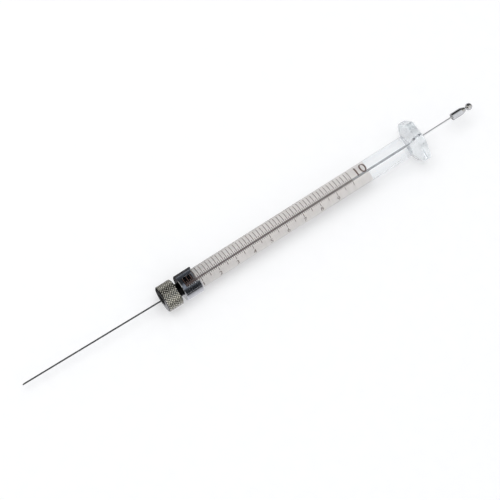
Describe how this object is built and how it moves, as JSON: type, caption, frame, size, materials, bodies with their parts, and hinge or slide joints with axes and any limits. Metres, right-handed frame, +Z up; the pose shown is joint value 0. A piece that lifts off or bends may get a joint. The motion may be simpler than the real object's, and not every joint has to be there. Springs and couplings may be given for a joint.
{
  "type": "microsyringe",
  "caption": "Glass microsyringe with a thin removable steel needle, knurled needle nut, windowed metal terminal, six-sided glass finger flange and wire plunger with a ball end.",
  "frame": {"origin": "middle of the syringe's box, on the surface that it lies on", "axes": "+X from the needle towards the plunger's ball end, +Z up, with the scale and the reading window on top; the syringe's own axis rises 1.35 degrees towards +X, because the flange is larger than the needle nut"},
  "size_m": [0.1592, 0.0142, 0.0127],
  "materials": {
    "barrel_glass": "clear borosilicate glass, ground at the end",
    "terminal_plating": "bright nickel plating on turned brass",
    "nut_plating": "satin nickel plating on knurled brass",
    "needle_steel": "drawn stainless steel tube",
    "hub_steel": "turned stainless steel",
    "seal_ptfe": "white fluoropolymer",
    "wire_steel": "ground stainless steel wire",
    "button_steel": "polished turned steel"
  },
  "bodies": {
    "barrel": {"glass_barrel": "barrel_glass", "terminal": "terminal_plating"},
    "needle": {"needle_tube": "needle_steel", "needle_hub": "hub_steel", "needle_seal": "seal_ptfe"},
    "nut": {"needle_nut": "nut_plating"},
    "plunger": {"plunger_wire": "wire_steel", "plunger_button": "button_steel"}
  },
  "joints": [
    {"name": "plunger_slide", "type": "slide", "parent": "barrel", "child": "plunger", "axis": [0.9997, 0, 0.0235], "range_m": [0, 0.06]},
    {"name": "needle_slide", "type": "slide", "parent": "barrel", "child": "needle", "axis": [-0.9997, 0, -0.0235], "range_m": [0, 0.0034]},
    {"name": "nut_turn", "type": "hinge", "parent": "needle", "child": "nut", "pos_m": [-0.0294, 0, 0.0043], "axis": [-0.9997, 0, -0.0235], "range_deg": [0, 2448.5]}
  ],
  "couplings": [
    {"joint": "nut_turn", "follows": "needle_slide", "rad_per_m": 12566}
  ]
}
